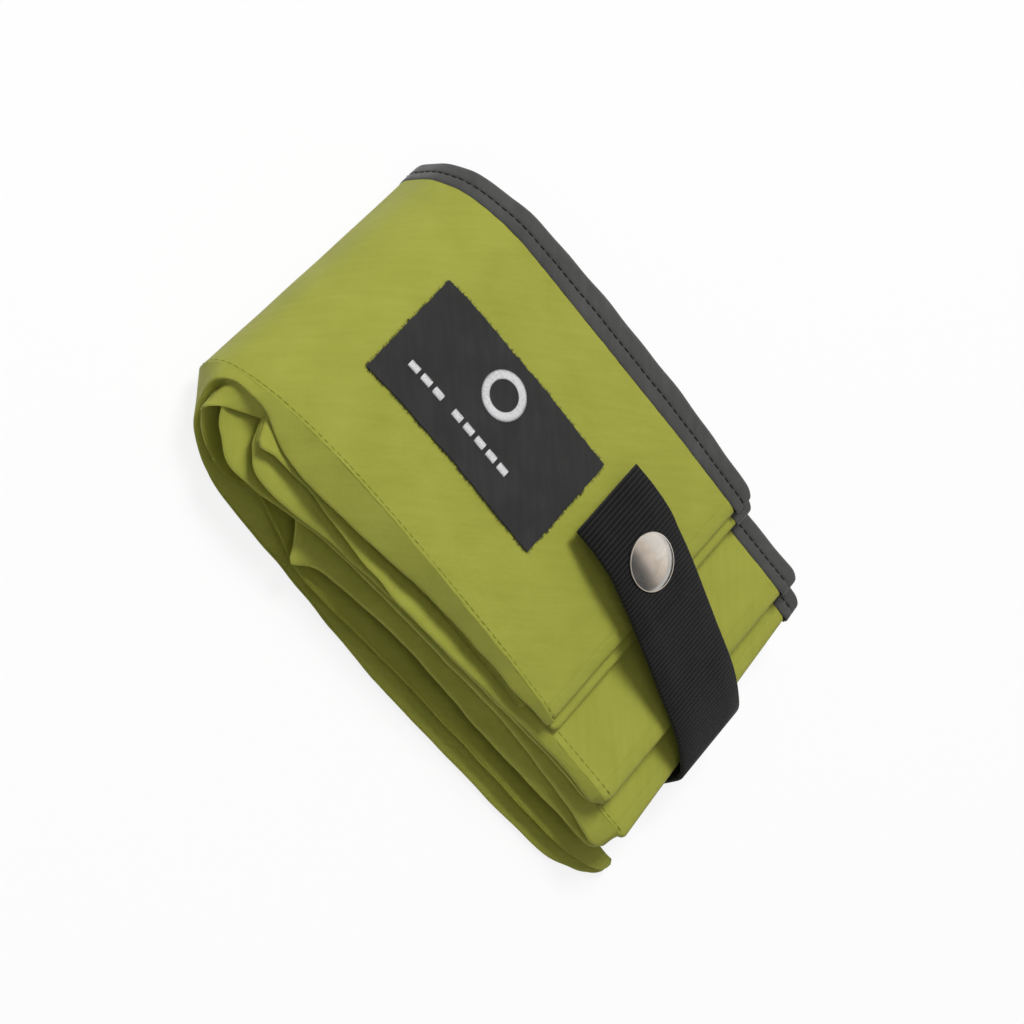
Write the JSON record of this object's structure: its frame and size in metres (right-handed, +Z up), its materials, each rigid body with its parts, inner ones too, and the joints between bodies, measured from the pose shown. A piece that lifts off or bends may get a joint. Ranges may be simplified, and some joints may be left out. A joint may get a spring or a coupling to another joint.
{
  "type": "foldable litter box",
  "caption": "Fabric litter tray with stiffened walls, packed flat, folded in half and held shut by a webbing strap with a metal snap.",
  "frame": {"origin": "middle of the pack's outline, on the table it lies on", "axes": "+X along the long walls from the fold to the free ends, +Y from the base edge to the rim, +Z up through the leaves to the labelled one"},
  "size_m": [0.2068, 0.1318, 0.0524],
  "materials": {
    "cover_fabric": "olive green woven cloth with a fine ripple",
    "stiffener_board": "plain stiffening board, sewn inside the walls",
    "lining_fabric": "wipe-clean coated cloth",
    "rim_tape": "dark grey binding tape",
    "strap_webbing": "black ribbed webbing",
    "snap_metal": "polished nickel",
    "label_cloth": "dark woven patch with frayed edges",
    "label_thread": "white woven thread"
  },
  "bodies": {
    "back_half": {"long_wall_b_back_cover": "cover_fabric", "long_wall_b_back_board": "stiffener_board", "long_wall_b_back_lining": "lining_fabric", "long_wall_b_back_rim_tape": "rim_tape", "short_wall_left_b_cover": "cover_fabric", "short_wall_left_b_board": "stiffener_board", "short_wall_left_b_lining": "lining_fabric", "short_wall_left_b_rim_tape": "rim_tape", "short_wall_left_a_cover": "cover_fabric", "short_wall_left_a_board": "stiffener_board", "short_wall_left_a_lining": "lining_fabric", "short_wall_left_a_rim_tape": "rim_tape", "long_wall_a_back_cover": "cover_fabric", "long_wall_a_back_board": "stiffener_board", "long_wall_a_back_lining": "lining_fabric", "long_wall_a_back_rim_tape": "rim_tape", "base_hem_back_inner": "cover_fabric", "base_hem_back_outer": "cover_fabric", "base_pleat_back_upper": "cover_fabric", "base_pleat_back_lower": "cover_fabric", "short_wall_left_crease": "cover_fabric", "long_wall_a_fold_cover": "cover_fabric", "long_wall_a_fold_lining": "lining_fabric", "long_wall_a_fold_rim_tape": "rim_tape", "long_wall_b_fold_cover": "cover_fabric", "long_wall_b_fold_lining": "lining_fabric", "long_wall_b_fold_rim_tape": "rim_tape", "base_hem_outer_turn": "cover_fabric", "base_hem_inner_turn": "cover_fabric", "strap_root": "strap_webbing"},
    "front_half": {"long_wall_a_front_cover": "cover_fabric", "long_wall_a_front_board": "stiffener_board", "long_wall_a_front_lining": "lining_fabric", "long_wall_a_front_rim_tape": "rim_tape", "short_wall_right_a_cover": "cover_fabric", "short_wall_right_a_board": "stiffener_board", "short_wall_right_a_lining": "lining_fabric", "short_wall_right_a_rim_tape": "rim_tape", "short_wall_right_b_cover": "cover_fabric", "short_wall_right_b_board": "stiffener_board", "short_wall_right_b_lining": "lining_fabric", "short_wall_right_b_rim_tape": "rim_tape", "long_wall_b_front_cover": "cover_fabric", "long_wall_b_front_board": "stiffener_board", "long_wall_b_front_lining": "lining_fabric", "long_wall_b_front_rim_tape": "rim_tape", "base_hem_front_outer": "cover_fabric", "base_hem_front_inner": "cover_fabric", "base_pleat_front_upper": "cover_fabric", "base_pleat_front_lower": "cover_fabric", "short_wall_right_crease": "cover_fabric", "label_patch": "label_cloth", "label_ring": "label_thread", "snap_stud": "snap_metal", "snap_post": "snap_metal"},
    "strap_arm": {"strap_span": "strap_webbing"},
    "strap_end": {"strap_tab": "strap_webbing", "snap_cap": "snap_metal", "snap_socket": "snap_metal"}
  },
  "joints": [
    {"name": "half_unfold", "type": "hinge", "parent": "back_half", "child": "front_half", "pos_m": [-0.1051, 0, 0.0205], "axis": [0, -1, 0], "range_deg": [0, 180], "deforming": ["long_wall_a_fold_cover", "long_wall_a_fold_lining", "long_wall_a_fold_rim_tape", "long_wall_b_fold_cover", "long_wall_b_fold_lining", "long_wall_b_fold_rim_tape", "base_hem_outer_turn", "base_hem_inner_turn"]},
    {"name": "strap_swing", "type": "hinge", "parent": "back_half", "child": "strap_arm", "pos_m": [0.0991, 0, 0.00785], "axis": [0, 1, 0], "range_deg": [0, 120], "deforming": ["strap_span"]},
    {"name": "strap_tab_lift", "type": "hinge", "parent": "strap_arm", "child": "strap_end", "pos_m": [0.0532, 0, 0.04285], "axis": [0, 1, 0], "range_deg": [0, 90], "deforming": ["strap_tab"]}
  ]
}
